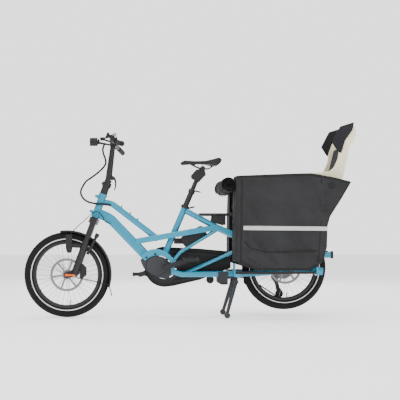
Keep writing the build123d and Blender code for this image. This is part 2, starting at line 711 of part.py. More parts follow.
def loop(offset, y):
    """The chain's line moved to its left by an offset, as a closed wire."""
    circles = chain_circles()
    legs = []
    for (c1, r1, t1), (c2, r2, t2) in zip(circles, circles[1:] + circles[:1]):
        dx, dz = c2[0] - c1[0], c2[1] - c1[1]
        d = math.hypot(dx, dz)
        heading = math.atan2(dz, dx) - math.asin((t2 * r2 - t1 * r1) / d)
        n = (-math.sin(heading), math.cos(heading))
        a = tuple(c1[k] - t1 * (r1 - t1 * offset) * n[k] for k in (0, 1))
        b = tuple(c2[k] - t2 * (r2 - t2 * offset) * n[k] for k in (0, 1))
        legs.append((a, b))
    edges = []
    for i, (a, b) in enumerate(legs):
        edges.append(Edge.make_line((a[0], y, a[1]), (b[0], y, b[1])))
        centre, r, turn = circles[(i + 1) % len(circles)]
        out = legs[(i + 1) % len(legs)][0]
        r -= turn * offset
        start = math.atan2(b[1] - centre[1], b[0] - centre[0])
        end = math.atan2(out[1] - centre[1], out[0] - centre[0])
        sweep_angle = (end - start) % (2 * math.pi) if turn > 0 else -((start - end) % (2 * math.pi))
        if abs(sweep_angle) < 1e-6:
            continue
        mid = start + sweep_angle / 2
        m = (centre[0] + r * math.cos(mid), y, centre[1] + r * math.sin(mid))
        edges.append(Edge.make_three_point_arc((b[0], y, b[1]), m, (out[0], y, out[1])))
    return Wire(edges)


def chain():
    plates = []
    for y in (CHAIN_Y - CHAIN_INSIDE - CHAIN_PLATE, CHAIN_Y + CHAIN_INSIDE):
        around_it = Solid.extrude(Face(loop(-CHAIN_HEIGHT / 2, y)), Vector(0, CHAIN_PLATE, 0))
        within = Solid.extrude(Face(loop(CHAIN_HEIGHT / 2, y - 1)), Vector(0, CHAIN_PLATE + 2, 0))
        plates.append(around_it - within)
    return plates


def sprocket(centre, teeth, y):
    return disc(*centre, pitch_radius(teeth) + TOOTH, y - SPROCKET_T / 2, y + SPROCKET_T / 2)


def drive_parts():
    made = {}
    made["drive_unit"] = largest(cut(drive_body(), motor_bracket()[1], disc(*BB, 12 + FIT_GAP, -70, 70)))

    crank = disc(*BB, 12, -CRANK_Y - 14, CRANK_Y + 14)
    arms, spindles = [], []
    for side in (-1, 1):
        angle = CRANK_ANGLE if side < 0 else CRANK_ANGLE + 180
        end = around(BB, CRANK_LENGTH, angle)
        y0, y1 = sorted((side * CRANK_Y, side * (CRANK_Y + 14)))
        a, b = Vector(BB[0], y0, BB[1]), Vector(end[0], y0, end[1])
        mid_plane = Plane(origin=(a + b) / 2, x_dir=b - a, z_dir=(0, 1, 0))
        face = mid_plane * SlotCenterToCenter(CRANK_LENGTH, 30)
        arms.append(extrude(face, amount=14, dir=(0, 1, 0)))
        spindles.append(disc(*end, 6, *sorted((side * CRANK_Y, side * 192))))
    ring_disc = sprocket(BB, RING_TEETH, CHAIN_Y) - disc(*BB, 76, 0, 90)
    spider = [
        side_plate([around(BB, 10, a - 60), around(BB, 82, a - 7), around(BB, 82, a + 7), around(BB, 10, a + 60)], CHAIN_Y - 0.8, CHAIN_Y + 3)
        for a in range(0, 360, 72)
    ]
    boss = disc(*BB, 26, CHAIN_Y, CRANK_Y + 2)
    made["crankset"] = joined([crank, *arms, *spindles, ring_disc, *spider, boss])

    for name, side in (("pedal_left", -1), ("pedal_right", 1)):
        x, z = around(BB, CRANK_LENGTH, CRANK_ANGLE if side < 0 else CRANK_ANGLE + 180)
        y0, y1 = sorted((side * 98, side * 194))
        rails = [block(x - 48, x - 34, y0, y1, z - 11, z + 11), block(x + 34, x + 48, y0, y1, z - 11, z + 11)]
        sides = [block(x - 48, x + 48, y, y + 8, z - 9, z + 9) for y in (y0, y1 - 8)]
        core = disc(x, z, 13, y0, y1)
        made[name] = joined([*rails, *sides, core]) - disc(x, z, 6 + FIT_GAP, *sorted((side * 90, side * 192.6)))

    cogs = []
    for i, teeth in enumerate(SPROCKET_TEETH):
        cogs.append(sprocket(REAR_AXLE, teeth, CHAIN_Y - (i - CHAIN_SPROCKET) * SPROCKET_STEP))
    carrier = disc(*REAR_AXLE, 17, CASSETTE_INNER, PLATE_Y - RUN_GAP)
    made["cassette"] = joined([carrier, *cogs]) - disc(*REAR_AXLE, HUB_BORE["rear"] + FIT_GAP, 0, 90)
    made["chain"] = chain()

    inner, outer = CHAIN_Y + 7, CHAIN_Y + 9
    outline = [(604, 432), (826, 422), (1021, 404), (1021, 300), (826, 226), (660, 188), (604, 181)]
    plate = joined([side_plate(outline, inner, outer), disc(*BB, 126, inner, outer)])
    inset = [(604, 429), (826, 419), (1030, 400), (1030, 200), (840, 200), (826, 229.5), (660, 191.5), (604, 184)]
    room = joined([side_plate(inset, 40, inner), disc(*BB, 123, 40, inner)])
    lip = joined([side_plate(outline, 60.6, inner), disc(*BB, 126, 60.6, inner)]) - room
    opening = disc(*BB, 86, 40, 90)
    made["chain_case"] = largest(cut(joined([plate, lip]), opening))

    cage = []
    for y in (CHAIN_Y - 4.9, CHAIN_Y + 3.4):
        plane = Plane(origin=((1302 + 1326) / 2, y, (245 + 138) / 2), x_dir=(24, 0, -107), z_dir=(0, 1, 0))
        cage.append(extrude(plane * SlotCenterToCenter(math.hypot(24, 107), 24), amount=1.5, dir=(0, 1, 0)))
    for centre in (GUIDE_PULLEY, TENSION_PULLEY):
        cage.append(sprocket(centre, PULLEY_TEETH, CHAIN_Y))
        cage.append(disc(*centre, 4, CHAIN_Y - 4, CHAIN_Y + 4))
    link = side_plate([(1290, 236), (1316, 232), (1352, 262), (1356, 290), (1334, 290), (1296, 260)], CHAIN_Y + 4.8, PLATE_Y + 12, 3)
    hanger = side_plate([(1334, 262), (1360, 262), (1360, 320), (1334, 320)], PLATE_Y + PLATE_T, PLATE_Y + PLATE_T + 4, 3)
    arm = cut(joined([link, hanger]), disc(*REAR_AXLE, 47, 0, PLATE_Y), disc(*REAR_AXLE, 6, 0, 99), side_plate(PLATE_OUTLINE, PLATE_Y, PLATE_Y + PLATE_T))
    made["derailleur"] = joined([*cage, largest(arm)])
    stays_whole = both(box_tube(CHAINSTAY_PATH, [40, 60, 60, 50], *CHAINSTAY, 7)[0])
    made["chain_idlers"] = [
        joined(
            [
                sprocket(c, PULLEY_TEETH, CHAIN_Y),
                disc(*c, 4, 56, CHAIN_Y + 2),
                side_plate([(c[0] - 9, c[1] - 9), (c[0] + 9, c[1] - 9), (c[0] + 9, 262), (c[0] - 9, 262)], 56, 58.6),
            ]
        )
        - stays_whole[0]
        for c in IDLERS
    ]
    return made


# ---------------------------------------------------------------- battery, rack, boards and stand
STAND_PIVOT = (1035.0, 219.0)
FOOT_R = 18.0
FOOT_Y = 140.0
BOARD = (1012.0, 1500.0)
BOARD_TOP = 286.0
BOARD_T = 12.0
RACK_Y = 62.0
HOOP_Y = BAG_Y - BAG_T - 8
BAG_OUTLINE = [
    (1022, 863),
    (1468, 879),
    (1711, 830),
    (1714, 818),
    (1583, 618),
    (1568, 570),
    (1565, 436),
    (1539, 347),
    (1503, 322),
    (1468, 292),
    (1153, 292),
    (1044, 328),
    (1013, 346),
]


def carrier_parts():
    made = {}
    slope = math.radians(31.7)
    c, s = math.cos(slope), math.sin(slope)
    along = [(-12, -36), (148, -36), (148, 36), (-12, 36)]
    pack = side_plate([(724 + a * c - b * s, 463 + a * s + b * c) for a, b in along], -40, 40, 22)
    made["battery_pack"] = cut(joined([pack, block(640, 716, -15, 15, 452, 488)]), block(600, 660, -20, 20, 400, 500), seat_tube()[0])

    z = DECK_Z
    sides = both(rod((812, -RACK_Y, z), (1606, -RACK_Y, z), 8))
    bars = [rod((x, -RACK_Y, z), (x, RACK_Y, z), 7) for x in (842, 960, 1130, 1300, 1450, 1598)]
    posts = []
    for foot, top in (((900, 586.2), 905), ((1290, 406), 1290), ((1560, 402), 1560)):
        y = 62 if foot[0] == 900 else 77
        posts += both(rod((foot[0], -y, foot[1]), (top, -RACK_Y, z), 7.5))
    front = both(side_plate([(846, 600), (880, 592), (975, 566), (975, 626), (846, 626)], -RACK_Y - 7, -RACK_Y + 1, 6))
    hoops = []
    for x in (1048, 1536):
        hoops += both(pipe([(x, -RACK_Y, z), (x, -HOOP_Y, z + 34), (x, -HOOP_Y, 848)], 50, 7))
    tops = both(rod((1036, -HOOP_Y, 846), (1548, -HOOP_Y, 846), 8))
    frame_now = frame_parts()
    bars = [cut(bar, *sides) for bar in bars]
    posts = [largest(cut(post, *sides, *frame_now["side_rails"], *frame_now["frame_braces"])) for post in posts]
    front = [cut(plate, *sides, *posts[:2], *frame_now["side_rails"], *frame_now["frame_braces"]) for plate in front]
    hoops = [cut(hoop, *sides) for hoop in hoops]
    tops = [cut(rail, *hoops) for rail in tops]
    made["rear_rack"] = [largest(s) for s in (*sides, *bars, *posts, *front, *hoops, *tops)]

    made["running_boards"] = both(block(*BOARD, -280, -150, BOARD_TOP - BOARD_T, BOARD_TOP))
    plate = [
        block(BOARD[0] - 6, BOARD[0], -280, -210, 260, 339),
        block(BOARD[0] + 6, BOARD[0] + 32, -280, -56, 254, BOARD_TOP - BOARD_T),
        block(BOARD[0] - 6, BOARD[0] + 32, -280, -210, 258, BOARD_TOP - BOARD_T),
    ]
    rear = [
        block(BOARD[1], BOARD[1] + 10, -280, -210, 265, 316),
        block(BOARD[1] + 8, BOARD[1] + 36, -280, -90, 268, 296),
    ]
    brackets = [joined(plate), joined(rear)]
    made["board_brackets"] = [
        s for b in brackets for s in both(largest(cut(b, *frame_now["chainstays"], made["running_boards"][0])))
    ]

    outer, inner = FENDER_R + FENDER_T, FENDER_R
    guard = [
        band(REAR_AXLE, inner, outer, 15, 166, -34, 34),
        *both(band(REAR_AXLE, inner - 9, outer, 15, 166, -36, -33)),
        *both(rod((1112, -34, 447), (1118, -64, 462), 3)),
        *both(rod((1600, -34, 396), (1600, -68, 396), 3)),
    ]
    made["rear_fender"] = cut(joined(guard), *frame_now["side_rails"])

    caliper = side_plate([(1236, 300), (1262, 292), (1296, 306), (1300, 340), (1282, 368), (1246, 356)], -70, -42, 4)
    slot = disc(*REAR_AXLE, ROTOR_R + 3, REAR_ROTOR_Y - 2, REAR_ROTOR_Y + 2)
    pocket = disc(*REAR_AXLE, ROTOR_R - 30, -90, -40)
    tab = side_plate([(1262, 318), (1325, 318), (1325, 342), (1262, 342)], -PLATE_Y, -62, 3)
    made["rear_caliper"] = largest(
        cut(joined([cut(caliper, pocket), tab]), slot, *frame_now["chainstays"], *frame_now["side_rails"])
    )
    axle = disc(*REAR_AXLE, HUB_BORE["rear"], -PLATE_Y - PLATE_T - 8, PLATE_Y + PLATE_T + 8)
    ends = [
        disc(*REAR_AXLE, 11, -PLATE_Y - PLATE_T - 9, -PLATE_Y - PLATE_T),
        disc(*REAR_AXLE, 11, PLATE_Y + PLATE_T + 4, PLATE_Y + PLATE_T + 11),
    ]
    made["rear_axle"] = joined([axle, *ends])
    made["tail_light"] = block(1605, 1622, -34, 34, 618, 650)
    bumper = side_plate([(1627, 362), (1640, 362), (1640, 408), (1627, 408)], -92, -64, 3)
    end_cap = side_plate([(TAIL_PATH_END, 275), (TAIL_PATH_END + 10, 275), (TAIL_PATH_END + 10, 307), (TAIL_PATH_END, 307)], -91, -67, 3)
    made["rubber_feet"] = [*both(bumper), *both(end_cap)]

    housing = [
        block(928, 1050, -55, 55, 236, 250),
        side_plate([(928, 250), (928, 214), (950, 200), (991, 200), (991, 250)], -55, 55, 4),
        block(930, 990, -66, -56, 214, 280),
        block(930, 990, -57, -54, 214, 249),
        *both(side_plate([(1018, 248), (1018, 212), (1035, 203), (1052, 212), (1052, 248)], -55, -44, 3)),
    ]
    pivot_room = disc(*STAND_PIVOT, 8 + FIT_GAP, -90, 90)
    made["stand_bracket"] = largest(cut(joined(housing), pivot_room, *frame_now["chainstays"]))
    x, zp = STAND_PIVOT
    legs = []
    for side in (-1, 1):
        top = (x, side * 80, zp)
        foot = (978, side * (FOOT_Y - 10), FOOT_R + 6)
        legs.append(cone(top, foot, 15, 10))
        legs.append(disc(x, zp, 17, *sorted((side * 67, side * 92))))
        legs.append(disc(978, FOOT_R, FOOT_R, *sorted((side * (FOOT_Y - 14), side * (FOOT_Y + 10)))))
    legs.append(disc(x, zp, 8, -92, 92))
    made["kickstand"] = joined(legs)

    bag_whole = side_plate(BAG_OUTLINE, -BAG_Y, BAG_Y)
    face = Face(Wire.make_polygon([(x, 0, z) for x, z in BAG_OUTLINE], close=True))
    inner_face = offset(face, -BAG_T, kind=Kind.INTERSECTION)
    hollow = Solid.extrude(inner_face.faces()[0], Vector(0, 2 * (BAG_Y - BAG_T), 0)).moved(
        Location((0, -(BAG_Y - BAG_T), 0))
    )
    top = side_plate([(1026, 840), (1468, 850), (1690, 815), (1690, 900), (1026, 900)], -BAG_Y + BAG_T, BAG_Y - BAG_T)
    channel = block(1000, 1500, -95, 95, 280, 760)
    behind = block(1400, 1760, -184, 184, 280, 900)
    panels = cut(bag_whole, hollow, top, channel, behind)
    roll = rod((977.5, -232, 806), (977.5, 232, 806), 44) - rod((977.5, -230, 806), (977.5, 230, 806), 38)
    made["cargo_bag"] = [largest(panels), largest(cut(roll, bag_whole))]
    return made, frame_now


def child_seat():
    made = {}
    outline = [
        (1450, SEAT_PAN_Z),
        (1618, SEAT_PAN_Z),
        (1645, 750),
        (1687, 875),
        (1728, 1053),
        (1751, 1075),
        (1765, 1110),
        (1766, 1165),
        (1740, 1185),
        (1690, 1110),
        (1659, 1027),
        (1652, 973),
        (1627, 919),
        (1600, 896),
        (1480, 884),
        (1445, 770),
    ]
    whole = side_plate(outline, -SEAT_HALF, SEAT_HALF)
    inside = SEAT_HALF - SEAT_WALL
    room = side_plate(
        [(1400, SEAT_PAN_Z + SEAT_WALL), (1608, SEAT_PAN_Z + SEAT_WALL), (1630, 758), (1672, 885), (1712, 1055), (1742, 1090), (1745, 1300), (1400, 1300)],
        -inside,
        inside,
    )
    spine = both(pipe([(1618, -50, 646), (1657, -50, 746), (1703, -50, 882), (1742, -50, 1060)], 30, 8.5))
    base = block(1460, 1596, -RACK_Y - 6, RACK_Y + 6, DECK_Z + 8, SEAT_PAN_Z)
    made["child_seat_shell"] = largest(whole - room)
    made["child_seat_spine"] = [*(largest(cut(t, whole, base)) for t in spine), base]
    floor = SEAT_PAN_Z + SEAT_WALL
    cushion = side_plate([(1455, floor), (1600, floor), (1606, floor + 20), (1455, floor + 15)], -inside + 14, inside - 14, 4)
    back = side_plate([(1612, 716), (1634, 766), (1675, 889), (1712, 1050), (1690, 1050), (1652, 893), (1600, 760)], -inside + 14, inside - 14)
    wing = side_plate([(1614, 1072), (1665, 1170), (1754, 1198), (1745, 1150), (1697, 1081), (1674, 1004), (1648, 1018)], -SEAT_HALF - 10, -SEAT_HALF, 3)
    made["child_seat_pad"] = [cushion, largest(cut(back, whole - room)), *both(wing)]
    return made


# ---------------------------------------------------------------- small parts
def small_parts():
    bolts = []
    for x, z in ((488, 369), (542, 389)):
        bolts += both(disc(x, z, 6.5, -58, -54))
    for x, z in ((330, 679), (384, 637), (430, 601)):
        bolts.append(rod((x, 0, z - 2), (x + 9, 0, z + 10), 4))
    return bolts


CABLE_PATH = [
    (211, -20, 1038),
    (242, -22, 962),
    (232, -24, 931),
    (180, -28, 880),
    (118, -30, 839),
    (82, -32, 788),
    (87, -34, 747),
    (118, -36, 713),
    (170, -38, 700),
    (232, -33, 697),
    (272, -22, 690),
]
HOSE_PATH = [
    (268, -32, 575),
    (232, -38, 582),
    (217, -42, 628),
    (176, -46, 662),
    (96, -50, 585),
    (60, -56, 555),
    (22, -60, 512),
]


def cables(*neighbours):
    bundle = pipe(CABLE_PATH, 16, 6)
    hose = pipe(HOSE_PATH, 16, 2.5)
    return [largest(cut(bundle, *neighbours)), largest(cut(hose, *neighbours))]


# ---------------------------------------------------------------- the whole bicycle
def bicycle():
    made = {}
    carrier, frame = carrier_parts()
    made.update(frame)
    made.update(wheels())
    made.update(front_end())
    made.update(post_parts())
    made.update(seat_parts())
    made.update(drive_parts())
    made.update(carrier)
    made.update(child_seat())
    top_whole = top_tube()[0]
    made["frame_bolts"] = [largest(cut(b, top_whole)) for b in small_parts()]
    made["control_cables"] = cables(
        top_whole, down_tube()[0], head_tube()[0], made["brake_control_box"], *made["fork_lowers"]
    )
    for piece, holder in (
        ("headset", "head_tube"),
        ("hinge_pin", "stem_base"),
        ("chain_idlers", "derailleur"),
        ("fork_tube", "brake_control_box"),
    ):
        made[holder] = [made[holder], made.pop(piece)]
    return {name: solids_of(shape) for name, shape in made.items()}


def centred(made):
    """The origin moved to the middle of the length and width, on the ground."""
    box = Compound(solids_of(list(made.values()))).bounding_box()
    shift = Location((-(box.min.X + box.max.X) / 2, -(box.min.Y + box.max.Y) / 2, -box.min.Z))
    return {name: [s.moved(shift) for s in solids] for name, solids in made.items()}, shift


if __name__ == "__main__":
    os.makedirs("parts", exist_ok=True)
    parts, _ = centred(bicycle())
    for name, solids in parts.items():
        export_step(Compound(solids), f"parts/{name}.step")
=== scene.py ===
import math

import bpy
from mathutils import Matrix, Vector, noise


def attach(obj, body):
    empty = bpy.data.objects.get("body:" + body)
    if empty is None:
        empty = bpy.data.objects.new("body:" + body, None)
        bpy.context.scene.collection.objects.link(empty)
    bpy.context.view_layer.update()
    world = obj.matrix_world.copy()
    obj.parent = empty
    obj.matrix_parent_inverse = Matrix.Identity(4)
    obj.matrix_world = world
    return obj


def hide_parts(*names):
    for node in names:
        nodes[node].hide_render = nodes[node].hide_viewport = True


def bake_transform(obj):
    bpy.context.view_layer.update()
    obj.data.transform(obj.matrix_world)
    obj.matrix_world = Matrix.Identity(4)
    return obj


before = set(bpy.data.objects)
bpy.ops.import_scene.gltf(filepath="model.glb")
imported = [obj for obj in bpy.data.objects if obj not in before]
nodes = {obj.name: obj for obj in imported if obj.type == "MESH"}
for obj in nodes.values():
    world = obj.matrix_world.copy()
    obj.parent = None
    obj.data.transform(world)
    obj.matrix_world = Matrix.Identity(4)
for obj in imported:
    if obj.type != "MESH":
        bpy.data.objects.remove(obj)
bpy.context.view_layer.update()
bpy.ops.object.select_all(action="DESELECT")

# ---------------------------------------------------------------- room, light and camera
# A pale floor with soft light from large panels. The bicycle is seen level from its left side,
# half a metre above the floor and a little ahead of its middle, through a long lens.
SHIFT_X = -0.7515  # the workshop drawing has x = 0 at the front axle


def at(x, y, z):
    """A place on the workshop drawing, in millimetres, as a point in metres here."""
    return Vector((x / 1000 + SHIFT_X, y / 1000, z / 1000))


bpy.ops.mesh.primitive_plane_add(size=40, location=(0, 0, -0.001))
floor = bpy.context.active_object
floor.name = "studio_floor"
white = bpy.data.materials.new("studio_white")
white.use_nodes = True
paper = white.node_tree.nodes["Principled BSDF"]
paper.inputs["Base Color"].default_value = (0.92, 0.92, 0.92, 1)
paper.inputs["Roughness"].default_value = 0.9
paper.inputs["Emission Color"].default_value = (1, 1, 1, 1)
paper.inputs["Emission Strength"].default_value = 0.8
floor.data.materials.append(white)
bpy.ops.object.transform_apply(location=True, rotation=True, scale=True)

world = bpy.data.worlds.new("studio_air")
bpy.context.scene.world = world
world.use_nodes = True
world.node_tree.nodes["Background"].inputs["Color"].default_value = (1, 1, 1, 1)
AIR_LIGHT = 0.95  # what the room gives the object
AIR_SEEN = 2.1  # how bright the backdrop looks behind it
air = world.node_tree
rays = air.nodes.new("ShaderNodeLightPath")
backdrop = air.nodes.new("ShaderNodeMapRange")
backdrop.inputs["To Min"].default_value = AIR_LIGHT
backdrop.inputs["To Max"].default_value = AIR_SEEN
air.links.new(rays.outputs["Is Camera Ray"], backdrop.inputs["Value"])
air.links.new(backdrop.outputs["Result"], air.nodes["Background"].inputs["Strength"])
for name, place, width, watts in (
    ("key_panel", (-2.6, -4.2, 3.6), 2.6, 150),
    ("fill_panel", (3.4, -3.8, 2.2), 3.0, 75),
    ("top_panel", (0.2, 0.4, 4.4), 3.4, 110),
    ("back_panel", (0.5, 4.2, 2.6), 3.0, 70),
):
    data = bpy.data.lights.new(name, "AREA")
    data.size = width
    data.energy = watts
    lamp = bpy.data.objects.new(name, data)
    bpy.context.scene.collection.objects.link(lamp)
    lamp.location = place
    lamp.rotation_euler = (Vector((0, 0, 0.5)) - Vector(place)).to_track_quat("-Z", "Y").to_euler()

camera_data = bpy.data.cameras.new("camera")
camera = bpy.data.objects.new("camera", camera_data)
bpy.context.scene.collection.objects.link(camera)
bpy.context.scene.camera = camera
camera_data.sensor_width = 36
camera_data.lens = 87
camera.location = at(383, -6000, 501)
camera.rotation_euler = Vector((0.0524, 1, 0)).to_track_quat("-Z", "Y").to_euler()
camera_data.shift_x = 0.05
camera_data.shift_y = 0.09

# ---------------------------------------------------------------- painted frame
# Butted alloy tubes, welded and powder coated in sky blue under a clear coat, so the colour is
# even and the gloss carries a faint orange peel.


def finish(
    name, colour, rough, metallic=0.0, coat=0.0, bump=0.0, scale=300.0, spread=0.04, weave=None, shine=0.3
):
    """A procedural finish: colour that drifts a little, uneven gloss, and grain or a weave."""
    made = bpy.data.materials.new(name)
    made.use_nodes = True
    tree = made.node_tree
    shader = tree.nodes["Principled BSDF"]
    shader.inputs["Metallic"].default_value = metallic
    shader.inputs["Coat Weight"].default_value = coat
    shader.inputs["Specular IOR Level"].default_value = shine
    shader.inputs["Coat Roughness"].default_value = 0.12
    place = tree.nodes.new("ShaderNodeTexCoord")
    drift = tree.nodes.new("ShaderNodeTexNoise")
    drift.inputs["Scale"].default_value = 7.0
    drift.inputs["Detail"].default_value = 5.0
    tree.links.new(place.outputs["Object"], drift.inputs["Vector"])
    ramp = tree.nodes.new("ShaderNodeValToRGB")
    ramp.color_ramp.elements[0].position = 0.3
    ramp.color_ramp.elements[1].position = 0.7
    low = [max(0.0, c * (1 - 2 * spread)) for c in colour]
    high = [min(1.0, c * (1 + 2 * spread)) for c in colour]
    ramp.color_ramp.elements[0].color = (*low, 1)
    ramp.color_ramp.elements[1].color = (*high, 1)
    tree.links.new(drift.outputs["Fac"], ramp.inputs["Fac"])
    tree.links.new(ramp.outputs["Color"], shader.inputs["Base Color"])
    wear = tree.nodes.new("ShaderNodeMapRange")
    wear.inputs["To Min"].default_value = max(0.02, rough - 0.06)
    wear.inputs["To Max"].default_value = min(1.0, rough + 0.08)
    tree.links.new(drift.outputs["Fac"], wear.inputs["Value"])
    tree.links.new(wear.outputs["Result"], shader.inputs["Roughness"])
    if bump:
        relief = tree.nodes.new("ShaderNodeBump")
        relief.inputs["Strength"].default_value = bump
        relief.inputs["Distance"].default_value = 0.0008
        if weave:
            turned = []
            for direction in ("X", "Z"):
                thread = tree.nodes.new("ShaderNodeTexWave")
                thread.bands_direction = direction
                thread.inputs["Scale"].default_value = weave
                thread.inputs["Distortion"].default_value = 0.4
                tree.links.new(place.outputs["Object"], thread.inputs["Vector"])
                turned.append(thread)
            cloth = tree.nodes.new("ShaderNodeMath")
            cloth.operation = "MULTIPLY"
            tree.links.new(turned[0].outputs["Fac"], cloth.inputs[0])
            tree.links.new(turned[1].outputs["Fac"], cloth.inputs[1])
            tree.links.new(cloth.outputs["Value"], relief.inputs["Height"])
        else:
            grain = tree.nodes.new("ShaderNodeTexNoise")
            grain.inputs["Scale"].default_value = scale
            grain.inputs["Detail"].default_value = 3.0
            tree.links.new(place.outputs["Object"], grain.inputs["Vector"])
            tree.links.new(grain.outputs["Fac"], relief.inputs["Height"])
        tree.links.new(relief.outputs["Normal"], shader.inputs["Normal"])
    return made


def dress(material, *names):
    """Gives parts of the frame their finish."""
    for name in names:
        node = nodes[name]
        node.data.materials.clear()
        node.data.materials.append(material)


sky_blue = finish("sky_blue_coat", (0.002, 0.22, 0.35), 0.3, coat=0.6, bump=0.05, scale=900, spread=0.03)
dress(sky_blue, "head_tube", "top_tube", "down_tube", "seat_tube", "side_rails", "chainstays")
dress(sky_blue, "frame_braces", "motor_bracket", "board_brackets")

# ---------------------------------------------------------------- black coated tubes and rims
# Fork, posts, bar, rack and rims are light alloy under a satin black coat. The posts telescope in
# their clamps and the bar's post folds on a pin above the head tube.
black_coat = finish("satin_black_coat", (0.009, 0.009, 0.01), 0.42, coat=0.1, bump=0.06, scale=700)
dress(black_coat, "rear_rack", "fork_crown", "fork_lowers", "stem_base", "handlepost", "handlebar")
dress(black_coat, "seat_clamp", "lower_seatpost", "upper_seatpost", "fold_lever", "front_rim", "rear_rim")

# ---------------------------------------------------------------- bare and blackened metal
# Spokes, hubs with their rotors and the sprockets are bare steel, the cranks and chain are
# blackened, the lever blades are polished alloy, and the front axle has an orange lever.
bare_steel = finish("bare_steel", (0.2, 0.2, 0.21), 0.34, metallic=1.0, bump=0.08, scale=500)
dark_steel = finish("blackened_steel", (0.035, 0.035, 0.038), 0.4, metallic=0.9, bump=0.08, scale=500)
brushed = finish("brushed_alloy", (0.66, 0.67, 0.69), 0.34, metallic=1.0, bump=0.05, scale=350)
orange_anodised = finish("orange_anodised", (0.75, 0.13, 0.01), 0.35, metallic=0.6, bump=0.05, scale=700)
dress(bare_steel, "front_spokes", "rear_spokes", "front_hub", "rear_hub", "cassette", "rear_axle")
dress(orange_anodised, "front_axle")
dress(dark_steel, "crankset", "chain", "frame_bolts", "child_seat_spine")
dress(brushed, "brake_lever_left", "brake_lever_right")

# ---------------------------------------------------------------- castings, mouldings and rubber
# The stand and the motor's casing are grey castings. Guards, cases, lamps and pedals are moulded
# with a fine grain, and the grips and feet are soft rubber pushed over their tubes.
grey_cast = finish("grey_casting", (0.03, 0.032, 0.036), 0.5, metallic=0.3, bump=0.3, scale=420, spread=0.1)
fine_plastic = finish("moulded_black", (0.008, 0.008, 0.009), 0.5, bump=0.25, scale=1400, spread=0.08)
soft_rubber = finish("soft_rubber", (0.007, 0.007, 0.007), 0.75, bump=0.4, scale=800, spread=0.1)
dress(grey_cast, "stand_bracket", "kickstand", "drive_unit")
dress(fine_plastic, "battery_pack", "chain_case", "rear_fender", "front_fender", "rear_caliper")
dress(fine_plastic, "front_caliper", "brake_control_box", "headlight", "bar_controls", "derailleur")
dress(fine_plastic, "pedal_left", "pedal_right", "running_boards")
dress(soft_rubber, "grips", "rubber_feet", "control_cables")


def ride_piece(piece, body, material):
    """A new piece in one finish, moving with a body."""
    piece.data.materials.clear()
    piece.data.materials.append(material)
    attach(piece, body)
    return piece


# ---------------------------------------------------------------- tyres
# Reinforced city tyres with a low block tread. A pale reflective ring is moulded into each wall.
RING_R = 0.2195
RING_Y = 0.0268
RING_BEAD = 0.0034
reflective = finish("reflective_ring", (0.72, 0.73, 0.72), 0.35, metallic=0.2, bump=0.1, scale=900)
wheel_places = {"front": (at(0, 0, 263), "front_wheel"), "rear": (at(1347, 0, 306), "rear_wheel")}


def tyre_rubber(name, centre):
    """Block tread on the crown, fading to a plain wall."""
    made = finish(name, (0.009, 0.009, 0.0095), 0.8, bump=0.25, scale=900, spread=0.12, shine=0.15)
    tree = made.node_tree
    shader = tree.nodes["Principled BSDF"]
    relief = [n for n in tree.nodes if n.type == "BUMP"][0]
    place = [n for n in tree.nodes if n.type == "TEX_COORD"][0]
    split = tree.nodes.new("ShaderNodeSeparateXYZ")
    shifted = tree.nodes.new("ShaderNodeMapping")
    shifted.inputs["Location"].default_value = (-centre.x, 0, -centre.z)
    tree.links.new(place.outputs["Object"], shifted.inputs["Vector"])
    tree.links.new(shifted.outputs["Vector"], split.inputs["Vector"])

    def math_node(kind, a, b=None):
        node = tree.nodes.new("ShaderNodeMath")
        node.operation = kind
        for k, value in enumerate((a, b)):
            if value is None:
                continue
            if isinstance(value, float):
                node.inputs[k].default_value = value
            else:
                tree.links.new(value, node.inputs[k])
        return node.outputs["Value"]

    angle = math_node("ARCTAN2", split.outputs["Z"], split.outputs["X"])
    sideways = math_node("ABSOLUTE", split.outputs["Y"])
    lean = math_node("MULTIPLY", sideways, 14.0)
    turn = math_node("ADD", math_node("MULTIPLY", angle, 1.0), lean)
    cross = math_node("SINE", math_node("MULTIPLY", turn, 64.0))
    along = math_node("COSINE", math_node("MULTIPLY", sideways, 520.0))
    groove = math_node("MINIMUM", cross, along)
    deep = math_node("SMOOTH_MIN", math_node("MULTIPLY", groove, 2.0), 0.4)
    span = math_node("LESS_THAN", sideways, 0.022)
    across = math_node("MULTIPLY", split.outputs["X"], split.outputs["X"])
    upward = math_node("MULTIPLY", split.outputs["Z"], split.outputs["Z"])
    squared = math_node("ADD", across, upward)
    crown = math_node("GREATER_THAN", squared, 0.246 * 0.246)
    height = math_node("MULTIPLY", deep, math_node("MULTIPLY", span, crown))
    tread = tree.nodes.new("ShaderNodeBump")
    tread.inputs["Strength"].default_value = 0.9
    tread.inputs["Distance"].default_value = 0.003
    tree.links.new(height, tread.inputs["Height"])
    tree.links.new(relief.outputs["Normal"], tread.inputs["Normal"])
    tree.links.new(tread.outputs["Normal"], shader.inputs["Normal"])
    return made


